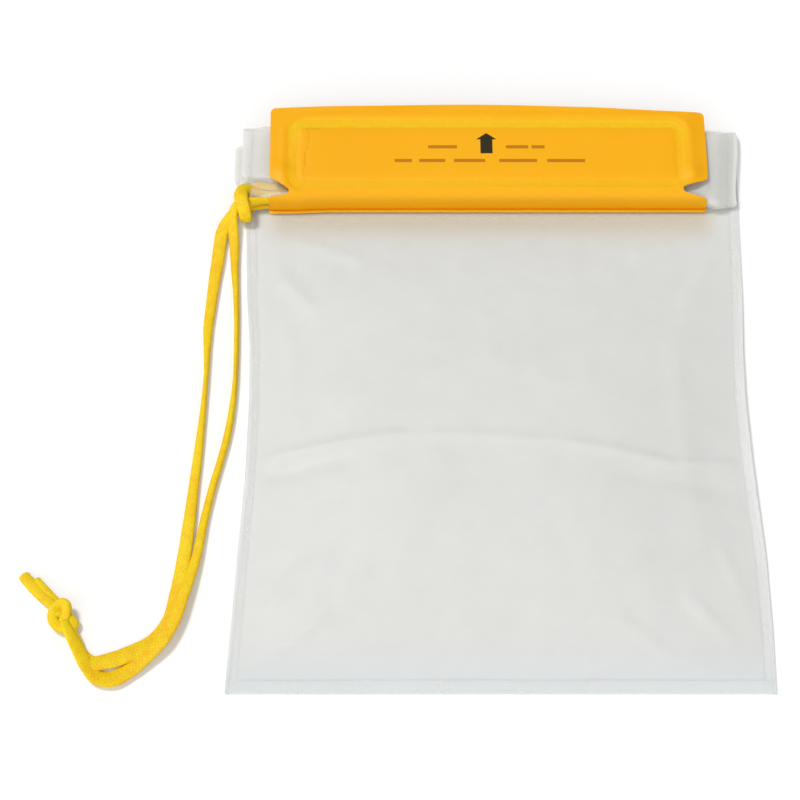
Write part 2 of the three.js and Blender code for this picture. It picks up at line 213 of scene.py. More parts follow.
def attribute(tree, name, share=None):
    """One of the piece's masks, or a share of it."""
    mask = node(tree, "ShaderNodeAttribute", attribute_name=name).outputs["Fac"]
    return mask if share is None else times(tree, mask, share)


def object_place(tree):
    return node(tree, "ShaderNodeTexCoord").outputs["Object"]


def axes_of(tree, vector):
    return node(tree, "ShaderNodeSeparateXYZ", {0: vector}).outputs


def group_tree(name, inputs, outputs):
    """An empty node group with named float sockets, and its ends."""
    tree = bpy.data.node_groups.new(name, "ShaderNodeTree")
    for socket, value in inputs.items():
        tree.interface.new_socket(socket, in_out="INPUT", socket_type="NodeSocketFloat").default_value = value
    for socket in outputs:
        tree.interface.new_socket(socket, in_out="OUTPUT", socket_type="NodeSocketFloat")
    return tree, tree.nodes.new("NodeGroupInput").outputs, tree.nodes.new("NodeGroupOutput").inputs


def drift_group():
    """A value that drifts slowly over the surface, between two limits."""
    tree, given, result = group_tree("surface_drift", {"Scale": 60, "Low": 0, "High": 1}, ["Value"])
    place = object_place(tree)
    cloud = node(tree, "ShaderNodeTexNoise", {"Vector": place, "Scale": given["Scale"], "Detail": 4})
    value = node(
        tree, "ShaderNodeMapRange",
        {"Value": cloud.outputs[0], "From Min": 0.3, "From Max": 0.7,
         "To Min": given["Low"], "To Max": given["High"]},
    )
    tree.links.new(value.outputs[0], result["Value"])
    return tree


def grain_group():
    """Height of a fine grain, which may be drawn out along y."""
    tree, given, result = group_tree("fine_grain", {"Scale": 3000, "Stretch": 1}, ["Height"])
    place = object_place(tree)
    along = maths(tree, "DIVIDE", 1.0, given["Stretch"])
    size = node(tree, "ShaderNodeCombineXYZ", {"X": 1.0, "Y": along, "Z": 1.0}).outputs[0]
    drawn = node(tree, "ShaderNodeVectorMath", {0: place, 1: size}, operation="MULTIPLY").outputs[0]
    grain = node(tree, "ShaderNodeTexNoise", {"Vector": drawn, "Scale": given["Scale"], "Detail": 3})
    tree.links.new(grain.outputs[0], result["Height"])
    return tree


def weave_group():
    """The yarns of a braid, from a map that counts yarns each way: height, tone and fibre."""
    tree, given, result = group_tree("braid_weave", {"Fibres": 4}, ["Height", "Tone", "Fibre"])
    uv = node(tree, "ShaderNodeUVMap", uv_map="yarns").outputs[0]
    count = axes_of(tree, uv)
    share = [maths(tree, "FRACT", count[axis]) for axis in (0, 1)]
    whole = [maths(tree, "FLOOR", count[axis]) for axis in (0, 1)]
    over = maths(tree, "PINGPONG", maths(tree, "ADD", *whole), 1.0)

    def pick(first, second):
        values = {"Factor": over, "A": first, "B": second}
        return node(tree, "ShaderNodeMix", values, data_type="FLOAT").outputs[0]

    across, along = pick(*share), pick(*reversed(share))
    crown = [maths(tree, "SINE", times(tree, value, math.pi)) for value in (across, along)]
    rounded = [maths(tree, "POWER", value, power) for value, power in zip(crown, CROWN_POWERS)]
    height = times(tree, *rounded)
    seed = node(tree, "ShaderNodeTexWhiteNoise", {"W": pick(*whole)}, noise_dimensions="1D").outputs[0]
    turns = times(tree, times(tree, across, given["Fibres"]), 2 * math.pi)
    tree.links.new(height, result["Height"])
    tree.links.new(seed, result["Tone"])
    tree.links.new(maths(tree, "SINE", turns), result["Fibre"])
    return tree


def box_group():
    """Mask of an upright box in the flap's plane, with soft edges."""
    tree, given, result = group_tree(
        "printed_box", {"X": 0, "Y": 0, "Half width": 0.001, "Half height": 0.001}, ["Mask"]
    )
    axes = axes_of(tree, object_place(tree))
    inside = []
    for axis, centre, half in ((0, "X", "Half width"), (1, "Y", "Half height")):
        away = maths(tree, "ABSOLUTE", maths(tree, "SUBTRACT", axes[axis], given[centre]))
        inside.append(remap(tree, maths(tree, "SUBTRACT", away, given[half]), -PRINT_EDGE, PRINT_EDGE, 1, 0))
    tree.links.new(times(tree, *inside), result["Mask"])
    return tree


GROUPS = {}
PRINT_EDGE = 0.00006
CROWN_POWERS = (0.6, 0.35)  # how round a yarn is across and along its length, lower is fuller


def grouped(tree, name, **inputs):
    """Places one of the shared groups in a material, built the first time it is used."""
    makers = {
        "surface_drift": drift_group, "fine_grain": grain_group,
        "braid_weave": weave_group, "printed_box": box_group,
    }
    if name not in GROUPS:
        GROUPS[name] = makers[name]()
    made = node(tree, "ShaderNodeGroup", node_tree=GROUPS[name])
    for key, value in inputs.items():
        give(tree, made.inputs[key.replace("_", " ")], value)
    return made.outputs


def drifting(tree, scale, low, high):
    """A shared drift, with its features per metre and its two limits."""
    return grouped(tree, "surface_drift", Scale=scale, Low=low, High=high)["Value"]


def bump(tree, height, distance, strength=1.0):
    inputs = {"Height": height, "Distance": distance, "Strength": strength}
    return node(tree, "ShaderNodeBump", inputs).outputs[0]


def new_material(name, **constants):
    """A material with one Principled shader, whose constant values stand on its own sockets."""
    made = bpy.data.materials.new(name)
    made.use_nodes = True
    shader = made.node_tree.nodes["Principled BSDF"]
    for key, value in constants.items():
        shader.inputs[key.replace("_", " ")].default_value = value
    return made, made.node_tree, shader.inputs


def feed(tree, shader, **sources):
    """Links what changes over the surface to the shader's sockets."""
    for name, source in sources.items():
        tree.links.new(source, shader[name.replace("_", " ")])


def set_material(piece, material):
    piece.data.materials.clear()
    piece.data.materials.append(material)


# Mesh helpers


def eased(values, at, width):
    """A given line of (position, value) pairs with its corners rounded over a width."""
    spots, levels = np.array(values, float).T
    steps = np.linspace(-1, 1, 21)
    weights = np.cos(steps * math.pi / 2) ** 2
    rounded = sum(w * np.interp(at + s * width / 2, spots, levels) for s, w in zip(steps, weights))
    return rounded / weights.sum()


def step(low, high, value):
    t = np.clip((value - low) / (high - low), 0, 1)
    return t * t * (3 - 2 * t)


def drift(x, y, size, seed):
    """Smooth noise in the pouch's plane, from about -1 to 1, with features of one size."""
    x, y = np.broadcast_arrays(x, y)
    flat = [noise.noise(Vector((a / size, b / size, seed))) for a, b in zip(np.ravel(x), np.ravel(y))]
    return np.reshape(flat, np.shape(x))


def sheet_mesh(name, points, thickness, offset):
    """A sheet from rows of points, as a grid that Solidify makes a closed skin."""
    rows, columns = points.shape[:2]
    bpy.ops.object.select_all(action="DESELECT")
    bpy.ops.mesh.primitive_grid_add(x_subdivisions=columns - 1, y_subdivisions=rows - 1, size=1)
    piece = bpy.context.object
    piece.name = piece.data.name = name
    piece.data.vertices.foreach_set("co", in_row(points).ravel())
    piece.data.update()
    solidify = piece.modifiers.new("thickness", "SOLIDIFY")
    solidify.thickness = thickness
    solidify.offset = offset
    bpy.ops.object.modifier_apply(modifier="thickness")
    bpy.ops.object.shade_smooth_by_angle(angle=math.radians(50))
    return piece


def along(points, pace):
    """A smooth curve through given points, as evenly spaced rows of the same columns."""
    points = np.array(points, float)
    gaps = np.linalg.norm(np.diff(points[:, :3], axis=0), axis=1)
    stops = np.concatenate([[0], np.cumsum(gaps)])
    slopes = np.gradient(points, stops, axis=0)
    fine = []
    for i, gap in enumerate(gaps):
        t = np.linspace(0, 1, max(2, int(gap / pace * 3)), endpoint=i == len(gaps) - 1)[:, None]
        near = (1 + 2 * t) * (1 - t) ** 2 * points[i] + t * (1 - t) ** 2 * gap * slopes[i]
        far = t ** 2 * (3 - 2 * t) * points[i + 1] - t ** 2 * (1 - t) * gap * slopes[i + 1]
        fine.append(near + far)
    fine = np.concatenate(fine)
    run = np.concatenate([[0], np.cumsum(np.linalg.norm(np.diff(fine[:, :3], axis=0), axis=1))])
    at = np.linspace(0, run[-1], int(run[-1] / pace) + 1)
    return np.stack([np.interp(at, run, column) for column in fine.T], axis=1), at


# Braided cord


AROUND = 48  # points round the braid
PACE = 0.3  # millimetres between its rings
END_ROUND = 0.9  # millimetres over which its ends close


def braid(name, route, cord, groove=0.0):
    """A hollow braid along a route of x, y, z, width, thickness and tilt, with real yarns."""
    rows, run = along(route, PACE)
    line = rows[:, :3]
    tangent = np.gradient(line, run, axis=0)
    tangent /= np.linalg.norm(tangent, axis=1)[:, None]
    side = np.cross(tangent[0], (0, 0, 1))
    sides = []
    for direction in tangent:
        side = side - direction * (side @ direction)
        side /= np.linalg.norm(side)
        sides.append(side)
    sides = np.array(sides)
    ups = np.cross(sides, tangent)
    tilt = np.radians(rows[:, 5])[:, None]
    sides, ups = sides * np.cos(tilt) + ups * np.sin(tilt), ups * np.cos(tilt) - sides * np.sin(tilt)

    turn = np.linspace(0, 2 * math.pi, AROUND, endpoint=False)
    end = np.minimum(run, run[-1] - run)
    close = np.sqrt(np.clip(1 - (1 - np.clip(end / END_ROUND, 0.02, 1)) ** 2, 0.03, 1))
    shape = np.abs(np.cos(turn)) ** 2.4 + np.abs(np.sin(turn)) ** 2.4
    radius = shape ** (-1 / 2.4) * (1 - groove * np.exp(-((np.sin(turn) / 0.35) ** 2)))
    wide = (rows[:, 3] / 2 * close)[:, None] * radius * np.cos(turn)
    high = (rows[:, 4] / 2 * close)[:, None] * radius * np.sin(turn)

    count = turn[None, :] / (2 * math.pi) * cord.yarns
    moved = (run / (cord.yarn_pitch / MM))[:, None]
    yarns = np.stack(np.broadcast_arrays(count + moved, moved - count), axis=2)
    share, whole = np.modf(yarns + 1000)
    over = whole.sum(axis=2) % 2 < 0.5
    across, length = (np.where(over, share[..., i], share[..., 1 - i]) for i in (0, 1))
    crown = np.sin(math.pi * across) ** CROWN_POWERS[0] * np.sin(math.pi * length) ** CROWN_POWERS[1]
    rise = (crown - 0.5) * cord.relief / MM * close[:, None]
    size = np.hypot(wide, high) + 1e-6
    points = (
        line[:, None]
        + (wide * (1 + rise / size))[..., None] * sides[:, None]
        + (high * (1 + rise / size))[..., None] * ups[:, None]
    )
    points[..., 2] = np.maximum(points[..., 2], 0.02)
    return tube_mesh(name, points, yarns), in_row(line)


def tube_mesh(name, points, counts):
    """Rings of points as a closed tube, with the yarn counts as its UV map."""
    rings, around = points.shape[:2]
    ends = [points[0].mean(axis=0), points[-1].mean(axis=0)]
    spots = np.concatenate([points.reshape(-1, 3), ends])
    first = np.arange(rings - 1)[:, None] * around
    here = np.arange(around)[None, :]
    after = (here + 1) % around
    quads = np.stack([first + here, first + after, first + around + after, first + around + here], axis=2)
    faces = quads.reshape(-1, 4).tolist()
    top = (rings - 1) * around
    tip = rings * around
    faces += [[(i + 1) % around, i, tip] for i in range(around)]
    faces += [[top + i, top + (i + 1) % around, tip + 1] for i in range(around)]
    mesh = bpy.data.meshes.new(name)
    mesh.from_pydata(in_row(spots).tolist(), [], faces)
    yarns = counts[0, 1] - counts[0, 0]
    layer = mesh.uv_layers.new(name="yarns")
    flat = np.concatenate([counts.reshape(-1, 2), counts[0, :1], counts[-1, :1]])
    corners = np.zeros(len(mesh.loops), np.int32)
    mesh.loops.foreach_get("vertex_index", corners)
    maps = flat[corners]
    seam = np.zeros(len(mesh.loops), bool)
    seam[: len(quads.reshape(-1))] = np.tile([False, True, True, False], quads.shape[0] * around)
    last = np.arange(len(corners)) // 4 % around == around - 1
    maps[seam & last] += yarns * around
    layer.data.foreach_set("uv", maps.ravel())
    mesh.validate()
    mesh.shade_smooth()
    piece = bpy.data.objects.new(name, mesh)
    bpy.context.collection.objects.link(piece)
    return piece


LOW = 0.8  # middle of a braid that lies flat
# Each route: x, y, z, width, thickness and tilt in degrees, from the punched hole to the knot
LEFT_ROUTE = [
    (-60.3, 162.1, 1.8, 1.3, 1.0, 0), (-63.0, 162.1, 1.8, 1.5, 1.0, 0), (-66.4, 162.1, 1.9, 1.9, 1.1, 0),
    (-69.5, 161.7, 2.1, 2.3, 1.1, 10), (-72.6, 161.1, 2.4, 2.6, 1.1, 15), (-75.4, 160.5, 2.5, 2.9, 1.2, 0),
    (-77.8, 159.2, 2.1, 3.2, 1.3, 0), (-79.8, 156.8, 1.5, 3.5, 1.3, 0), (-81.3, 153.1, 1.0, 3.9, 1.3, 0),
    (-81.9, 148.5, LOW, 3.9, 1.3, 0), (-82.3, 143.0, LOW, 3.9, 1.3, 0), (-83.0, 136.0, LOW, 3.6, 1.3, 0),
    (-83.7, 127.0, LOW, 3.2, 1.4, 0), (-84.3, 118.0, 0.9, 2.8, 1.5, 10), (-84.3, 110.0, 0.9, 2.0, 1.6, 0),
    (-84.2, 103.0, 1.0, 1.5, 1.8, 0), (-84.4, 96.0, 1.0, 1.5, 1.8, 0), (-84.7, 89.0, 0.9, 1.8, 1.7, 0),
    (-85.1, 82.0, 0.9, 2.2, 1.6, 0), (-85.7, 73.0, LOW, 2.7, 1.4, 0), (-86.4, 63.3, LOW, 3.0, 1.4, 0),
    (-87.1, 53.5, LOW, 3.5, 1.4, 0), (-88.1, 42.0, LOW, 3.9, 1.3, 0), (-89.8, 30.0, LOW, 3.9, 1.3, 0),
    (-91.6, 21.4, LOW, 4.2, 1.2, 0), (-95.3, 15.7, LOW, 4.7, 1.2, 0), (-101.4, 11.9, LOW, 5.2, 1.2, 0),
    (-107.2, 9.6, LOW, 5.2, 1.2, 0), (-111.9, 9.0, LOW, 4.5, 1.2, 0), (-114.7, 11.4, LOW, 3.7, 1.2, 0),
    (-116.6, 15.6, 1.2, 3.0, 1.3, 0), (-118.4, 19.0, 2.0, 2.6, 1.4, 0), (-119.9, 22.0, 2.6, 2.2, 1.4, 0),
]
RIGHT_ROUTE = [
    (-60.3, 162.3, 4.0, 1.5, 0.9, 60), (-63.0, 162.2, 4.2, 1.6, 0.9, 60), (-66.2, 162.2, 4.3, 1.8, 1.0, 60),
    (-68.6, 162.1, 4.2, 2.2, 1.1, 60), (-72.2, 161.7, 4.2, 2.8, 1.2, 50), (-75.0, 161.3, 4.1, 3.2, 1.3, 30),
    (-77.2, 160.2, 3.8, 3.1, 1.4, 5), (-78.2, 157.6, 3.2, 3.2, 1.5, -5), (-78.1, 153.6, 2.3, 3.2, 1.6, 0),
    (-77.7, 149.6, 1.4, 3.1, 1.6, 0), (-77.4, 145.5, 1.0, 2.8, 1.6, 0), (-77.1, 139.0, 1.0, 2.3, 1.7, 0),
    (-76.5, 131.0, 1.0, 1.8, 1.8, 0), (-76.0, 122.0, 1.0, 1.5, 1.9, 0), (-75.7, 110.0, 1.0, 1.4, 1.9, 0),
    (-75.7, 99.0, 1.0, 1.4, 1.9, 0), (-76.3, 90.0, 1.0, 1.8, 1.8, 0), (-77.4, 81.0, 0.9, 2.1, 1.7, 0),
    (-79.1, 72.5, 0.9, 2.1, 1.7, 0), (-81.0, 64.0, 0.9, 2.2, 1.6, 0), (-82.9, 53.5, 0.9, 2.4, 1.6, 0),
    (-84.8, 40.8, 1.3, 2.9, 1.5, 0), (-87.8, 28.5, 2.2, 3.5, 1.3, 0), (-90.0, 21.0, 2.3, 3.9, 1.3, 0),
    (-93.0, 15.2, 2.2, 4.4, 1.2, 0), (-97.3, 10.6, 1.4, 4.9, 1.2, 0), (-102.0, 6.5, LOW, 5.2, 1.2, 0),
    (-106.2, 4.1, LOW, 5.4, 1.2, 0), (-109.8, 4.4, LOW, 5.0, 1.2, 0), (-113.0, 7.8, 1.2, 4.4, 1.2, 0),
    (-116.2, 13.2, 2.2, 3.7, 1.2, 0), (-118.6, 17.4, 3.1, 3.0, 1.3, 0), (-120.3, 20.8, 3.4, 2.4, 1.4, 0),
]
LOOP_ROUTE = [
    (-60.5, 165.6, 2.4, 2.4, 1.0, 0), (-63.0, 165.5, 2.4, 2.9, 1.0, 0), (-67.0, 165.5, 2.3, 3.1, 1.1, 0),
    (-70.5, 165.9, 2.6, 3.0, 1.2, 0), (-73.0, 166.5, 3.7, 3.4, 1.4, 5), (-75.0, 165.6, 5.0, 4.0, 1.6, -20),
    (-75.8, 163.6, 5.6, 4.2, 1.7, -42), (-75.6, 161.2, 5.8, 4.2, 1.7, -55), (-74.9, 158.6, 5.5, 4.0, 1.7, -58),
    (-74.4, 156.7, 4.5, 3.8, 1.7, -57), (-74.3, 155.9, 3.1, 3.5, 1.5, -53), (-74.2, 156.6, 1.8, 3.2, 1.2, -55),
    (-73.9, 158.8, 1.1, 3.0, 1.0, -56), (-73.8, 161.5, 1.0, 3.0, 1.0, -56), (-74.0, 164.6, 1.2, 3.0, 1.0, -55),
    (-73.6, 167.4, 1.8, 3.0, 1.0, -47), (-71.6, 168.9, 2.2, 3.0, 1.0, -44), (-67.0, 168.6, 2.3, 2.9, 1.0, -43),
    (-63.0, 167.7, 2.4, 2.0, 1.0, -43), (-60.7, 166.9, 2.4, 1.4, 1.0, -43),
]
LONG_TAIL = [
    (-122.0, 23.8, 2.8, 2.4, 1.4, 0), (-123.7, 26.0, 2.1, 2.8, 1.4, 0), (-126.0, 28.4, 1.1, 3.1, 1.4, 0),
    (-128.5, 31.0, LOW, 3.3, 1.4, 0), (-131.0, 33.9, LOW, 3.4, 1.4, 0), (-133.0, 36.3, LOW, 3.2, 1.4, 0),
]
SHORT_TAIL = [
    (-120.9, 24.6, 2.4, 2.2, 1.4, 0), (-122.3, 26.9, 1.6, 2.3, 1.4, 0), (-124.4, 29.3, 1.0, 2.3, 1.4, 0),
    (-126.7, 32.0, LOW, 2.2, 1.4, 0), (-129.2, 35.0, LOW, 1.9, 1.3, 0),
]
KNOT_MIDDLE = np.array([-120.9, 21.9, 2.6])
KNOT_AXIS = np.array([-0.44, 0.9, 0.0])


def knot_route():
    """An overhand knot pulled tight, drawn out along its axis: a fat cord passes through it thrice."""
    t = np.linspace(-1.97, 1.97, 41)
    lengthwise = 1.75 * (t ** 3 - 3 * t)
    across = -1.2 * (t ** 4 - 4 * t ** 2 + 2)
    deep = 0.62 * (t ** 5 / 5 - 2 * t)
    axis = KNOT_AXIS / np.linalg.norm(KNOT_AXIS)
    side = np.array([axis[1], -axis[0], 0])
    up = np.array([0, 0, 1])
    places = KNOT_MIDDLE + np.outer(lengthwise, axis) + np.outer(across, side) + np.outer(deep, up)
    return [(*place, 3.2, 2.3, 0) for place in places]


def braid_material(cord):
    made, tree, shader = new_material("yellow_braid", Roughness=0.5, Specular_IOR_Level=0.2)
    weave = grouped(tree, "braid_weave", Fibres=4.0)
    slow = drifting(tree, 45.0, -0.35, 0.25)
    quick = drifting(tree, 420.0, -0.35, 0.3)
    # painted shade: the braid is coloured towards its crevice colour where the yarns are low, mixed with
    # random tone
    crevice_shade_and_tone = maths(tree, "ADD", remap(tree, weave["Height"], 0.2, 0.9, 0.35, 0.9), slow)
    crevice_shade_and_tone = maths(tree, "ADD", crevice_shade_and_tone, quick)
    crevice_shade_and_tone = maths(tree, "ADD", crevice_shade_and_tone, remap(tree, weave["Tone"], 0, 1, -0.2, 0.15))
    share = node(tree, "ShaderNodeClamp", {0: crevice_shade_and_tone}).outputs[0]
    colour = mixed(tree, share, tuple(cord.shade_color), tuple(cord.color))
    height = maths(tree, "ADD", weave["Height"], times(tree, weave["Fibre"], 0.18))
    feed(tree, shader, Base_Color=colour, Normal=bump(tree, height, 0.00006, 0.6))
    return made


class POUCH_OT_cord(Operator):
    """Lays the doubled wrist cord, its hitch, its knot and its tails"""

    bl_idname = "pouch.cord"
    bl_label = "Cord"

    def execute(self, context):
        cord = context.scene.pouch_cord
        finish = braid_material(cord)
        pieces = {}
        lines = {}
        for name, route, node_name, groove in (
            ("braid_left", LEFT_ROUTE, "cord_strand_left", 0.0),
            ("braid_right", RIGHT_ROUTE, "cord_strand_right", 0.0),
            ("hitch_loop", LOOP_ROUTE, "cord_hitch", 0.0),
            ("overhand_knot", knot_route(), "stopper_knot", 0.22),
            ("tail_long", LONG_TAIL, "cord_tail_long", 0.0),
            ("tail_short", SHORT_TAIL, "cord_tail_short", 0.0),
        ):
            pieces[name], lines[name] = braid(name, route, cord, groove)
            set_material(pieces[name], finish)
            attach(pieces[name], BODY)
            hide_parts(node_name)
        return {"FINISHED"}


# Clear film


UP = math.pi / 2
LOW_FOLD = 164.2
TOP_FOLD = 188.2
MOUTH = 185.0
TOP_RADIUS = 2.0
LOW_RADIUS = 1.6
ZIP_GAP = 1.6
TAIL_GAP = 0.2
AIR = 0.03  # between two sheets that lie on each other
TAIL_CORNER = 1.8
HEM_LINE = 3.9
RAMP = 4.0
HOLLOW = 156.5
# y and x of the pouch's side edges, as the full body draws them in
LEFT_EDGE = [(0, -75.4), (20, -74.3), (42, -73.2), (66, -71.8), (92, -71.4), (112, -71.8), (130, -73.2),
             (150, -74.0), (158, -74.4), (164, -75.2), (190, -75.6)]
RIGHT_EDGE = [(0, 74.9), (20, 75.1), (42, 74.8), (58, 73.8), (74, 73.0), (93, 72.6), (110, 73.1),
              (128, 74.2), (150, 75.0), (164, 75.4), (190, 75.8)]


def half_turn(y, z, radius, start, gaps, layer):
    """Rows that fold the film once round, from one facing and gap to the next."""
    rows = []
    for share in np.linspace(0, 1, 15):
        angle = start + math.pi * share
        place = y + radius * math.cos(angle), z + radius * (1 + math.sin(angle))
        rows.append((*place, angle, gaps[0] + (gaps[1] - gaps[0]) * share, layer + share))
    return rows


def film_route(film):
    """Where both sheets go, seen from the side: rows of y, z, facing, gap, and the layer's number."""
    body = np.concatenate([np.linspace(0, LOW_FOLD, 136), HEM_LINE + np.array([-0.35, 0, 0.35])])
    rows = [(y, film, -UP, 0.0, 0) for y in np.sort(body)]
    rows += [(y, film, -UP, 0.0, 1) for y in np.linspace(LOW_FOLD, TOP_FOLD, 17)[1:-1]]
    rows += half_turn(TOP_FOLD, film, TOP_RADIUS, -UP, (0.0, ZIP_GAP), 1)
    roll = film + 2 * TOP_RADIUS
    rows += [(y, roll, UP, ZIP_GAP, 2) for y in np.linspace(TOP_FOLD, LOW_FOLD, 30)[1:-1]]
    tail = roll - 2 * LOW_RADIUS
    rows += half_turn(LOW_FOLD, tail, LOW_RADIUS, UP, (ZIP_GAP, TAIL_GAP), 2)
    corner = MOUTH - TAIL_CORNER
    flat = np.concatenate([np.linspace(LOW_FOLD, corner, 20)[1:], np.linspace(corner, MOUTH, 8)[1:]])
    rows += [(y, tail, 3 * UP, TAIL_GAP, 3) for y in flat]
    return np.array(rows)


def column_shares(weld):
    """Shares of the width, closer together in the side welds and at their inner edges."""
    edge = [0, 0.45, 0.9, 1.4, 2.1, *(weld + np.array([-0.35, 0, 0.35, 0.8, 1.4, 2.2, 3.1]))]
    inner = (weld + RAMP) / BODY_WIDTH
    edge = np.array(edge) / BODY_WIDTH
    return np.concatenate([edge, np.linspace(inner, 1 - inner, 100), 1 - edge[::-1]])


def ridge(x, y, ends, width, height):
    """A straight fold line between two points: a rounded ridge that dies out at its ends."""
    (x0, y0), (x1, y1) = ends
    long = math.hypot(x1 - x0, y1 - y0)
    along_it = ((x - x0) * (x1 - x0) + (y - y0) * (y1 - y0)) / long
    off_it = ((x - x0) * (y1 - y0) - (y - y0) * (x1 - x0)) / long
    fade = step(0, 0.2 * long, along_it) * step(0, 0.2 * long, long - along_it)
    return height * fade * np.exp(-((off_it / width) ** 2))


# Each fold in the front sheet: its two ends, its width and its height, in millimetres
FOLDS = [
    (((-71, 72.0), (-20, 76.5)), 1.6, 0.9), (((-24, 76.3), (22, 73.2)), 1.5, 0.5),
    (((16, 73.8), (56, 67.6)), 1.6, 0.9), (((50, 68.4), (72, 71.5)), 1.4, 0.9),
    (((-70, 66.0), (-40, 70.0)), 2.6, -0.7), (((30, 64.0), (70, 62.0)), 3.0, -0.6),
    (((-73, 4), (-44, 24)), 1.6, 0.6), (((-74, 12), (-52, 40)), 1.8, 0.5),
    (((-64, 3), (-30, 12)), 1.8, 0.4), (((73, 5), (50, 30)), 2.0, 0.6),
    (((73, 16), (60, 48)), 1.8, 0.5), (((52, 6), (30, 22)), 1.8, 0.4),
    (((-73, 150), (-52, 120)), 2.4, 0.6), (((-70, 156), (-36, 138)), 2.2, 0.5),
    (((73, 152), (54, 122)), 2.4, 0.5), (((64, 156), (40, 140)), 2.0, 0.4),
    (((52, 118), (56, 36)), 3.0, 0.4), (((-60, 118), (-58, 78)), 2.6, 0.35),
]
BODY_POWER = 2.5  # higher is flatter over the hollow and steeper at its welds
EDGE_LIFT = 1.5  # how far the pouch's sides stand off the table
ROLL_SIDES = (-75.55, 75.8)  # x of the roll's ends at the top fold
TAIL_SLIP = (2.1, 2.2)  # how far the tail's ends stand past them and short of them
GATHER = 2.6  # how far the hitch draws in the roll's left corner
SUNK = 1.8  # how far the roll's right end sags
PINCH = 0.5  # share by which that end is pressed flat
PINCH_REACH = 4.0
ROLL_RIPPLE = 0.16


def film_sides(y, layer):
    """x of the film's two sides: drawn in by the full body, and a little out of line in the roll."""
    left = eased(LEFT_EDGE, np.minimum(y, 190), 9)
    right = eased(RIGHT_EDGE, np.minimum(y, 190), 9)
    slid = np.clip(layer - 1, 0, 2)
    gather = np.where(layer >= 2, 1 - step(LOW_FOLD + 3.8, LOW_FOLD + 7.5, y), 0)
    rolled_left = ROLL_SIDES[0] - 0.35 * slid - TAIL_SLIP[0] * step(2.2, 2.9, layer) + GATHER * gather
    rolled_right = ROLL_SIDES[1] + 0.6 * slid - 1.8 * step(TOP_FOLD, LOW_FOLD, y)
    rolled_right -= TAIL_SLIP[1] * step(2.2, 3, layer)
    corner = np.where(layer == 3, np.clip((y - MOUTH) / TAIL_CORNER + 1, 0, 1), 0)
    cut = TAIL_CORNER * (1 - np.sqrt(1 - corner ** 2))
    return np.where(layer > 1, rolled_left, left) + cut, np.where(layer > 1, rolled_right, right) - cut


def film_rise(x, y, inside, settings):
    """How far the front sheet stands up over the hollow, with its folds and creases."""
    free = step(0, 0.22, inside) * settings.wrinkle / MM / 0.6
    lift = settings.puff / MM * inside
    for ends, width, height in FOLDS:
        lift = lift + free * ridge(x, y, ends, width, height)
    return lift + free * (0.5 * drift(x, y * 0.7, 26, 1.5) + 0.22 * drift(x * 1.2, y, 9, 7.5))


def film_masks(x, y, spots_y, layer, from_edge, weld):
    """Where the film is welded or rolled, where the flap's glow and shade are painted on it, where it is
    coloured cool at the hem, and where the cord touches it.
    """
    body = layer == 0
    hem = np.where(body, step(HEM_LINE + 0.3, HEM_LINE - 0.3, y), 0)
    seam = np.exp(-(((from_edge - weld) / 0.3) ** 2))
    middle_y = np.interp(x, (-74, -61), (167.0, 166.6))
    reach = np.interp(x, (-74, -61), (3.4, 1.2))
    close = step(1.2, 0, np.abs(spots_y - middle_y) - reach) * step(-59, -62, x) * (layer > 1.8)
    masks = {
        "weld": np.maximum(step(weld + 0.3, weld - 0.3, from_edge), hem),
        "roll": step(0.9, 1.4, layer),
        "contact": close,
        "seam": np.maximum(seam, np.where(body, np.exp(-(((y - HEM_LINE) / 0.3) ** 2)), 0)),
        "rim": step(1.3, 0.6, from_edge),
        # painted light: a yellow glow bounced from the flap onto the body film just below it, darkened into
        # painted shade under the flap's foot
        "flap_glow_and_shade": np.where(body, step(146, 160, y), 0) * step(71, 62, np.abs(x)),
        "cool": np.where(body, step(16, 2, y), 0),
    }
    return {name: np.broadcast_to(mask, x.shape) for name, mask in masks.items()}


def film_points(side, film, settings):
    """The middle of one sheet's wall as rows of points, with its masks."""
    weld = settings.weld / MM
    shares = column_shares(weld)
    y, z, facing, gap, layer = (column[:, None] for column in film_route(film).T)
    body = layer == 0
    left, right = film_sides(y, layer)
    x = left + (right - left) * shares
    from_edge = np.minimum(shares, 1 - shares) * BODY_WIDTH
    apart = np.where(from_edge < weld, 0, step(weld, weld + RAMP, from_edge)) * gap / 2
    out = side * (apart + (film + AIR) / 2)
    spots_y = y + out * np.cos(facing)
    spots_z = z + out * np.sin(facing)
    high = step(LOW_FOLD + 4, TOP_FOLD, y)
    sunk = SUNK * (high * step(48, 65, x) + (1 - high) * step(63.5, 68.5, x))
    sunk = sunk * (1 - 0.75 * step(69, 75.5, x))
    spots_y = spots_y - sunk * np.where(layer > 1, 1, step(LOW_FOLD, TOP_FOLD - 3, y))
    pinch = PINCH * np.exp(-(((1 - shares) * BODY_WIDTH / PINCH_REACH) ** 2))
    spots_z = spots_z - pinch * np.where(layer >= 1, np.maximum(spots_z - 2 * film, 0), 0)

    if side < 0:
        middle = (weld + HOLLOW) / 2
        across = np.clip(np.abs(x - (left + right) / 2) / ((right - left) / 2 - weld), 0, 1)
        up_it = np.clip(np.abs(y - middle) / (middle - weld), 0, 1)
        inside = np.where(body, (1 - across ** BODY_POWER) * (1 - up_it ** BODY_POWER), 0)
        spots_z = spots_z + film_rise(x, y, np.clip(inside, 0, 1), settings)
    edge_lift = EDGE_LIFT * np.exp(-from_edge / 9) * np.sin(math.pi * np.clip(y / HOLLOW, 0, 1)) ** 1.5
    spots_z = spots_z + np.where(body, edge_lift * (1 + 0.5 * drift(0, y, 30, 3.5)), 0)
    roll = (layer >= 1.5) & (layer <= 2.6)
    spots_z = spots_z + np.where(roll, ROLL_RIPPLE * drift(x, y * 2, 17, 9.5) * step(0, 9, from_edge), 0)
    points = np.stack([np.broadcast_to(spots, x.shape) for spots in (x, spots_y, spots_z)], axis=2)
    return points, film_masks(x, y, spots_y, layer, from_edge, weld)


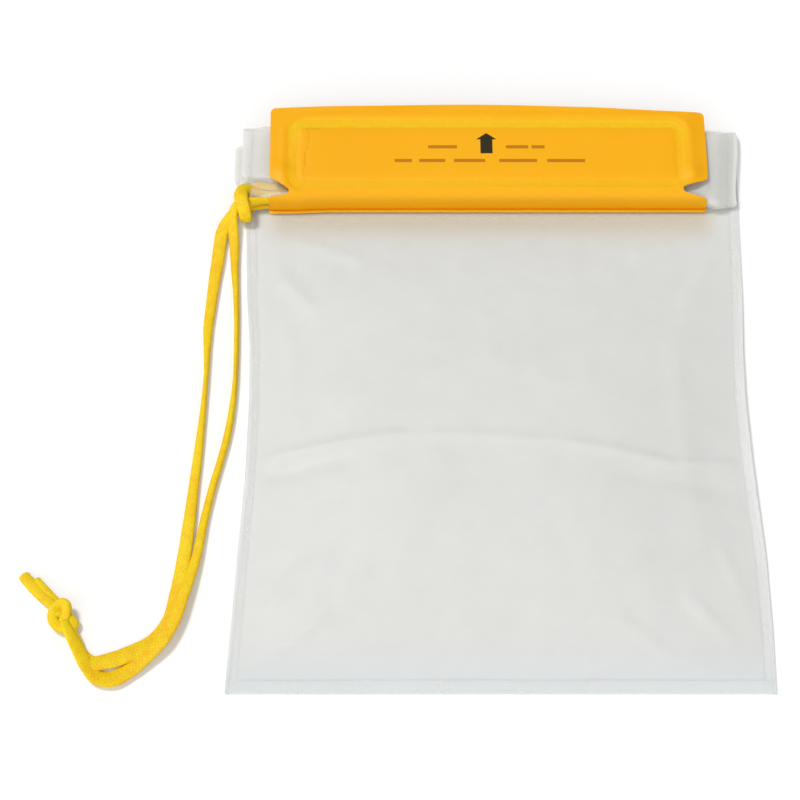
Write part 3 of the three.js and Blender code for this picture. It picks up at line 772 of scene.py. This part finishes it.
def paint(piece, masks):
    """Stores each mask on the mesh's points. Solidify put the second wall's points after the first's."""
    count = len(piece.data.vertices)
    for name, mask in masks.items():
        layer = piece.data.attributes.new(name, "FLOAT", "POINT")
        layer.data.foreach_set("value", np.resize(np.ravel(mask), count).astype(np.float32))


def film_material(settings):
    made, tree, shader = new_material("clear_film", IOR=1.5, Specular_IOR_Level=0.3)
    cloud = drifting(tree, 38.0, 0.0, 1.0)
    colour = tuple(settings.color)
    duller = tuple(c * 0.985 for c in colour)
    # painted light: the rolled layers are coloured a little lighter to lift the shade that the flap casts on
    # the roll
    painted_roll_lift = tuple(c * k for c, k in zip(colour, (1.03, 1.03, 1.015)))
    body = mixed(tree, cloud, duller, colour)
    body = mixed(tree, attribute(tree, "weld", 0.45), body, (0.9, 0.91, 0.9))
    body = mixed(tree, attribute(tree, "roll"), body, painted_roll_lift)
    # painted yellow glow from the flap, with painted shade under its foot
    body = mixed(tree, attribute(tree, "flap_glow_and_shade", 0.42), body, (0.55, 0.44, 0.17))
    body = mixed(tree, attribute(tree, "cool", 0.4), body, (0.83, 0.9, 0.93))
    body = mixed(tree, attribute(tree, "seam", 0.24), body, (0.6, 0.61, 0.6))
    veil = drifting(tree, 45.0, 0.295, 0.34)
    veil = maths(tree, "SUBTRACT", veil, attribute(tree, "weld", 0.05))
    veil = maths(tree, "ADD", veil, attribute(tree, "rim", 0.15))
    veil = times(tree, veil, remap(tree, attribute(tree, "contact"), 0, 1, 1, 0.3))
    rough = drifting(tree, 120.0, 0.4, 0.55)
    grain = grouped(tree, "fine_grain", Scale=700.0, Stretch=5.0)["Height"]
    grain = bump(tree, grain, 0.00003, 0.4)
    feed(tree, shader, Base_Color=body, Alpha=veil, Roughness=rough, Normal=grain)
    return made


class POUCH_OT_film(Operator):
    """Forms the two clear sheets, from the hem through both folds to the mouth"""

    bl_idname = "pouch.film"
    bl_label = "Clear film"

    def execute(self, context):
        settings = context.scene.pouch_film
        film = settings.thickness / MM
        finish = film_material(settings)
        rows = film_route(film)
        for name, side, node_name, rest in (
            ("film_back", 1, "back_sheet", []),
            ("film_front", -1, "front_sheet", ["film_back"]),
        ):
            points, masks = film_points(side, film, settings)
            piece = sheet_mesh(name, points, settings.thickness, 0)
            paint(piece, masks)
            set_material(piece, finish)
            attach(piece, BODY)
            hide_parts(node_name)
        return {"FINISHED"}


# Closure flap


FLAP_TOP = 196.2
FLAP_BOW = 1.6
FLAP_FOOT = 160.2
FLAP_FLOOR = 0.5
FLAP_PLANE = 7.3  # middle of the vinyl's wall where it lies flat
# y and x of the flap's ends, with a blunt notch at each
FLAP_LEFT = [(160.0, -66.6), (160.6, -67.4), (162.3, -67.5), (162.8, -66.6), (163.2, -62.4), (163.6, -61.3),
             (164.7, -61.2), (165.3, -62.0), (168.2, -66.7), (169.2, -67.2), (180.0, -67.3), (194.7, -67.5),
             (195.7, -67.1), (196.2, -66.3)]
FLAP_RIGHT = [(160.0, 64.8), (160.5, 65.4), (161.9, 65.4), (162.2, 64.6), (162.8, 61.6), (163.4, 59.2),
              (163.9, 58.3), (165.1, 58.2), (165.7, 59.2), (167.6, 64.6), (168.5, 65.9), (180.0, 66.1),
              (194.7, 66.1), (195.7, 65.7), (196.2, 64.9)]
FRAME_MIDDLE = (-0.9, 177.6)
FRAME_HALF = (61.4, 13.6)
FRAME_BAND = 3.9
FRAME_CORNER = 6.0
LIPS = (62.5, 170.6)  # x either side of the frame's middle, and y, where the vinyl is pushed up
LIP_RISE = 0.7
CREASE_DEPTH = 0.08
BEAD_RISE = 0.4
DROOP = 1.1  # how far the flap's right end hangs
DROOP_SHIFT = 0.613  # up the flap for each millimetre of droop


def flap_section():
    """The side view of the flap's wall as rows of y, z and how far it is along the flat top."""
    rise = math.radians(88)
    foot_y, foot_z, bend, shoulder = FLAP_FOOT + 1.1, FLAP_FLOOR + 0.2, 0.3, 3.2
    rows = [(y, foot_z, 0.0) for y in np.linspace(FLAP_FOOT, foot_y, 7)]
    for angle in np.linspace(0, rise, 7)[1:]:
        rows.append((foot_y + bend * math.sin(angle), foot_z + bend * (1 - math.cos(angle)), 0.0))
    low_y, low_z = rows[-1][:2]
    top_z = FLAP_PLANE - shoulder * (1 - math.cos(rise))
    top_y = low_y + (top_z - low_z) / math.tan(rise)
    for share in np.linspace(0, 1, 14)[1:]:
        rows.append((low_y + (top_y - low_y) * share, low_z + (top_z - low_z) * share, 0.0))
    centre_y = top_y + shoulder * math.sin(rise)
    for angle in np.linspace(rise, 0, 13)[1:]:
        dropped = shoulder * (1 - math.cos(angle))
        rows.append((centre_y - shoulder * math.sin(angle), FLAP_PLANE - dropped, 0.0))
    for share in np.linspace(0, 1, 92)[1:]:
        rows.append((centre_y + (FLAP_TOP - centre_y) * share, FLAP_PLANE, share))
    return np.array(rows)


def frame_distance(x, y, inset, corner):
    """Signed distance to a rounded rectangle a little inside the frame-shaped weld's outer edge."""
    away_x = np.abs(x - FRAME_MIDDLE[0]) - FRAME_HALF[0] + inset + corner
    away_y = np.abs(y - FRAME_MIDDLE[1]) - FRAME_HALF[1] + inset + corner
    outside = np.hypot(np.maximum(away_x, 0), np.maximum(away_y, 0))
    return outside + np.minimum(np.maximum(away_x, away_y), 0) - corner


def flap_points(settings):
    """The flap's outer face as rows of points, with its masks."""
    rows = flap_section()
    y, z, share = (column[:, None] for column in rows.T)
    left = eased(FLAP_LEFT, y, 0.5)
    right = eased(FLAP_RIGHT, y, 0.5)
    columns = np.linspace(0, 1, 261)
    x = left + (right - left) * columns
    bow = FLAP_BOW * ((x + 14) / 57) ** 2
    y = y - bow * share
    z = np.broadcast_to(z, x.shape).copy()
    flat = step(162.8, 164.0, y)
    outer = frame_distance(x, y, 0, FRAME_CORNER)
    inner = frame_distance(x, y, FRAME_BAND, 1.6)
    wave = 0.3 * drift(x, y, 5, 2.5)
    band = step(0.5, -0.7, outer) * step(-0.7 + wave, 0.5 + wave, inner)
    z -= settings.frame_depth / MM * band * flat
    z += 0.12 * step(0, -4, inner) * flat
    z += 0.16 * np.exp(-(((outer + 0.9) / 0.5) ** 2)) * flat * step(-30, 20, x)
    z += 0.12 * np.exp(-(((outer - 1.3) / 0.9) ** 2)) * flat
    lips = (np.abs(x - FRAME_MIDDLE[0]) - LIPS[0]) ** 2 / 9 + (y - LIPS[1]) ** 2 / 10
    z += LIP_RISE * np.exp(-lips) * flat
    z += 0.3 * step(2.5, 0, FLAP_TOP - bow - y) * drift(x, 0, 22, 4.5) * flat
    z += 0.1 * drift(x, y, 30, 5.5) * flat
    crease = np.exp(-(((x + 56.4 - 1.1 * drift(0, y, 5, 8.5)) / 0.2) ** 2))
    crease = crease * step(166, 170, y) * step(187.6, 186, y)
    corner = np.exp(-(((y - 187.0 - 0.3 * drift(x, 0, 4, 9.5)) / 0.25) ** 2))
    corner = corner * step(-57, -55.5, x) * step(-51, -53, x)
    # the crease and corner lines are dented, and also darkened with painted shade
    line = np.maximum(crease, corner) * flat
    z -= CREASE_DEPTH * line
    z += BEAD_RISE * np.exp(-(((y - FLAP_FOOT - 0.5) / 0.42) ** 2)) * (z < 1.4)
    droop = DROOP * step(60, 67, x) * flat
    z -= droop
    y = y + DROOP_SHIFT * droop
    low = 1 - step(0, 0.06, share)
    y = y - 0.5 * low * step(-48, -62, x)
    sag = np.where(share > 0, 0, 1) * step(1.0, 4.0, z)
    y = y - 0.12 * sag * (1 + drift(x, z, 24, 6.5))
    # painted sheen on the pressed frame, stronger along its top band
    weld_sheen = band * flat * (0.4 + 0.6 * step(180, 187, y))
    masks = {"weld": band * flat, "weld_sheen": weld_sheen, "line": line}
    return np.stack([x, np.broadcast_to(y, x.shape), z], axis=2), masks


ARROW = (-1.2, 177.4, 182.7, 185.2)  # x, then y of the shaft's foot, the head's foot and the tip
HEAD_HALF = 3.15
SHAFT_HALF = 1.85
BARS = [(-14.6, 179.9, 4.4), (8.2, 179.9, 3.4), (14.6, 179.9, 2.0),
        (-26.6, 174.7, 2.6), (-17.8, 174.7, 4.0), (-6.4, 174.7, 4.8), (8.4, 174.7, 5.8), (23.0, 174.7, 5.8)]
BAR_HALF_HEIGHT = 0.62


def bars_mask(tree):
    """Plain bars in two rows."""
    total = 0.0
    for middle, y, half in BARS:
        spot = in_row((middle, y, 0))
        box = grouped(tree, "printed_box", X=spot[0], Y=spot[1], Half_width=half * MM,
                      Half_height=BAR_HALF_HEIGHT * MM)
        total = maths(tree, "MAXIMUM", total, box["Mask"])
    return total


def arrow_mask(tree):
    """A plain arrow that points up the flap."""
    x, low, neck, high = ARROW
    shaft = in_row((x, (low + neck) / 2 + 0.1, 0))
    total = grouped(tree, "printed_box", X=shaft[0], Y=shaft[1], Half_width=SHAFT_HALF * MM,
                    Half_height=((neck - low) / 2 + 0.1) * MM)["Mask"]
    tip = in_row((x, high, 0))
    axes = axes_of(tree, object_place(tree))
    below = maths(tree, "SUBTRACT", tip[1], axes[1])
    aside = maths(tree, "ABSOLUTE", maths(tree, "SUBTRACT", axes[0], tip[0]))
    slope = HEAD_HALF / (high - neck)
    slant = maths(tree, "SUBTRACT", aside, times(tree, below, slope))
    foot = (high - neck) * MM
    head = maths(
        tree, "MULTIPLY", remap(tree, slant, -PRINT_EDGE, PRINT_EDGE, 1, 0),
        remap(tree, below, foot - PRINT_EDGE, foot + PRINT_EDGE, 1, 0),
    )
    return maths(tree, "MAXIMUM", total, head)


def vinyl_material(settings):
    made, tree, shader = new_material("yellow_vinyl", Specular_IOR_Level=0.22)
    drifted = drifting(tree, 30.0, 0.0, 0.35)
    colour = tuple(settings.color)
    deeper = tuple(c * k for c, k in zip(colour, (0.97, 0.9, 0.9)))
    body = mixed(tree, drifted, colour, deeper)
    mottle = drifting(tree, 420.0, 0.55, 1.0)
    # painted sheen: the pressed frame is coloured yellower, mottled, and most along its top band
    weld_sheen = times(tree, attribute(tree, "weld_sheen"), mottle)
    body = mixed(tree, weld_sheen, body, tuple(settings.weld_sheen_color))
    # painted shade: a dark line in the crease along the frame's inner left edge and at its corner
    body = mixed(tree, attribute(tree, "line", 0.4), body, (0.6, 0.25, 0.005))
    body = mixed(tree, times(tree, bars_mask(tree), 0.8), body, tuple(settings.bar_color))
    body = mixed(tree, arrow_mask(tree), body, tuple(settings.arrow_color))
    rough = drifting(tree, 140.0, 0.4, 0.52)
    place = object_place(tree)
    check = node(tree, "ShaderNodeTexVoronoi", {"Vector": place, "Scale": 1500.0, "Randomness": 0.35})
    knurl = times(tree, check.outputs["Distance"], attribute(tree, "weld", 1.6))
    grain = grouped(tree, "fine_grain", Scale=2600.0, Stretch=1.0)["Height"]
    height = maths(tree, "ADD", knurl, times(tree, grain, 0.25))
    feed(tree, shader, Base_Color=body, Roughness=rough, Normal=bump(tree, height, 0.00008, 0.7))
    return made


class POUCH_OT_flap(Operator):
    """Forms the yellow closure flap with its weld frame, notches and printed marks"""

    bl_idname = "pouch.flap"
    bl_label = "Closure flap"

    def execute(self, context):
        settings = context.scene.pouch_flap
        points, masks = flap_points(settings)
        piece = sheet_mesh("vinyl_flap", points, settings.thickness, 0)
        paint(piece, masks)
        set_material(piece, vinyl_material(settings))
        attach(piece, BODY)
        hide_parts("closure_flap")
        return {"FINISHED"}


# Zips and tapes


def zip_material():
    made, tree, shader = new_material("zip_plastic", IOR=1.5)
    body = mixed(tree, drifting(tree, 80.0, 0.0, 1.0), (0.7, 0.72, 0.71), (0.8, 0.82, 0.82))
    rough = drifting(tree, 100.0, 0.22, 0.34)
    veil = drifting(tree, 60.0, 0.3, 0.42)
    axes = axes_of(tree, object_place(tree))
    # the strips end short of the cord's hole
    far = remap(tree, axes[0], in_row((-61.5, 0, 0))[0], in_row((-58, 0, 0))[0])
    veil = times(tree, veil, far)
    grain = bump(tree, grouped(tree, "fine_grain", Scale=1500.0, Stretch=1.0)["Height"], 0.00005, 0.4)
    feed(tree, shader, Base_Color=body, Alpha=veil, Roughness=rough, Normal=grain)
    return made


def tape_material(name, size):
    """Hook or loop tape: a pale nylon ground under a close pile of a given cell size, with painted shade in
    the hollows between the pile's cells.
    """
    made, tree, shader = new_material(name, Roughness=0.9, Sheen_Weight=0.3)
    place = object_place(tree)
    pile = node(tree, "ShaderNodeTexVoronoi", {"Vector": place, "Scale": size, "Randomness": 0.6})
    cell = remap(tree, pile.outputs["Distance"], 0.1, 0.6)
    # painted shade: darker colour in the hollows between the pile's cells, where the bump is low
    pale = mixed(tree, cell, (0.86, 0.85, 0.8), (0.6, 0.59, 0.54))
    feed(tree, shader, Base_Color=pale, Normal=bump(tree, maths(tree, "SUBTRACT", 1.0, cell), 0.0003, 0.9))
    return made


class POUCH_OT_closure_parts(Operator):
    """Gives the press zips and the hook and loop tapes their finishes"""

    bl_idname = "pouch.closure_parts"
    bl_label = "Zips and tapes"

    def execute(self, context):
        plastic = zip_material()
        for level in ("lower", "upper"):
            for half in ("rib", "groove"):
                set_material(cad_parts[f"zip_{half}_{level}"], plastic)
        set_material(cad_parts["hook_tape"], tape_material("hook_pile", 1400.0))
        set_material(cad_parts["loop_tape"], tape_material("loop_pile", 2400.0))
        return {"FINISHED"}


# Studio


class POUCH_OT_camera(Operator):
    """Sets the camera at the photograph's viewing angle"""

    bl_idname = "pouch.camera"
    bl_label = "Camera"

    def execute(self, context):
        studio = context.scene.pouch_studio
        target = Vector(in_row((-27.62, 93.79, 0)))
        back = Vector((0, -math.cos(studio.elevation), math.sin(studio.elevation)))
        data = bpy.data.cameras.new("studio_camera")
        data.lens = studio.lens
        data.sensor_width = 36
        data.clip_start, data.clip_end = 0.01, 20
        camera = bpy.data.objects.new("studio_camera", data)
        context.collection.objects.link(camera)
        camera.location = target + back * studio.distance
        camera.rotation_euler = back.to_track_quat("Z", "Y").to_euler()
        context.scene.camera = camera
        return {"FINISHED"}


def floor_material():
    made, tree, shader = new_material(
        "pale_table", Roughness=0.9, Specular_IOR_Level=0.0, Emission_Color=(1, 1, 1, 1)
    )
    tone = mixed(tree, drifting(tree, 4.0, 0.0, 1.0), (0.9, 0.9, 0.9), (0.92, 0.92, 0.92))
    seen = node(tree, "ShaderNodeLightPath").outputs["Is Camera Ray"]
    feed(tree, shader, Base_Color=tone, Emission_Strength=times(tree, seen, 0.09))
    return made


class POUCH_OT_stage(Operator):
    """Makes the pale table, the even sky and the soft lamps"""

    bl_idname = "pouch.stage"
    bl_label = "Stage"

    def execute(self, context):
        studio = context.scene.pouch_studio
        scene = context.scene
        bpy.ops.object.select_all(action="DESELECT")
        bpy.ops.mesh.primitive_plane_add(size=6, location=(0, 0, -0.0001))
        table = context.object
        table.name = table.data.name = "table_top"
        bpy.ops.object.transform_apply(location=True, rotation=True, scale=True)
        set_material(table, floor_material())
        world = bpy.data.worlds.new("studio_sky")
        world.use_nodes = True
        sky = world.node_tree.nodes["Background"].inputs
        sky["Color"].default_value = (1, 1, 1, 1)
        sky["Strength"].default_value = studio.sky
        scene.world = world
        for name, strength, width, toward in (
            ("key_lamp", studio.key, 14, (-0.5, 0.3, 1.0)),
            ("fill_lamp", studio.fill, 110, (-0.1, -1.0, 0.4)),
        ):
            lamp = bpy.data.lights.new(name, "SUN")
            lamp.energy = strength
            lamp.angle = math.radians(width)
            made = bpy.data.objects.new(name, lamp)
            context.collection.objects.link(made)
            made.rotation_euler = Vector(toward).to_track_quat("Z", "Y").to_euler()
        scene.view_settings.view_transform = "Standard"
        scene.cycles.transparent_max_bounces = 48
        return {"FINISHED"}


class POUCH_PT_sidebar(Panel):
    """Lists the pouch's sizes, colours and pieces"""

    bl_label = "Waterproof pouch"
    bl_idname = "POUCH_PT_sidebar"
    bl_space_type = "VIEW_3D"
    bl_region_type = "UI"
    bl_category = "Pouch"

    def draw(self, context):
        for group, (kind, operators) in SETTINGS.items():
            box = self.layout.box()
            for name in kind.__annotations__:
                box.prop(getattr(context.scene, group), name)
            for operator in operators:
                box.operator(operator)


SETTINGS = {
    "pouch_studio": (StudioSettings, ("pouch.camera", "pouch.stage")),
    "pouch_cord": (CordSettings, ("pouch.cord",)),
    "pouch_film": (FilmSettings, ("pouch.film",)),
    "pouch_flap": (FlapSettings, ("pouch.flap", "pouch.closure_parts")),
}
CLASSES = (
    *(kind for kind, operators in SETTINGS.values()),
    POUCH_OT_camera,
    POUCH_OT_cord,
    POUCH_OT_film,
    POUCH_OT_flap,
    POUCH_OT_closure_parts,
    POUCH_OT_stage,
    POUCH_PT_sidebar,
)


def register():
    for kind in CLASSES:
        bpy.utils.register_class(kind)
    for name, (kind, operators) in SETTINGS.items():
        setattr(bpy.types.Scene, name, PointerProperty(type=kind))


def unregister():
    for name in SETTINGS:
        delattr(bpy.types.Scene, name)
    for kind in reversed(CLASSES):
        bpy.utils.unregister_class(kind)


def main():
    register()
    bpy.ops.pouch.camera()
    bpy.ops.pouch.cord()
    bpy.ops.pouch.film()
    bpy.ops.pouch.flap()
    bpy.ops.pouch.closure_parts()
    bpy.ops.pouch.stage()


if __name__ == "__main__":
    main()
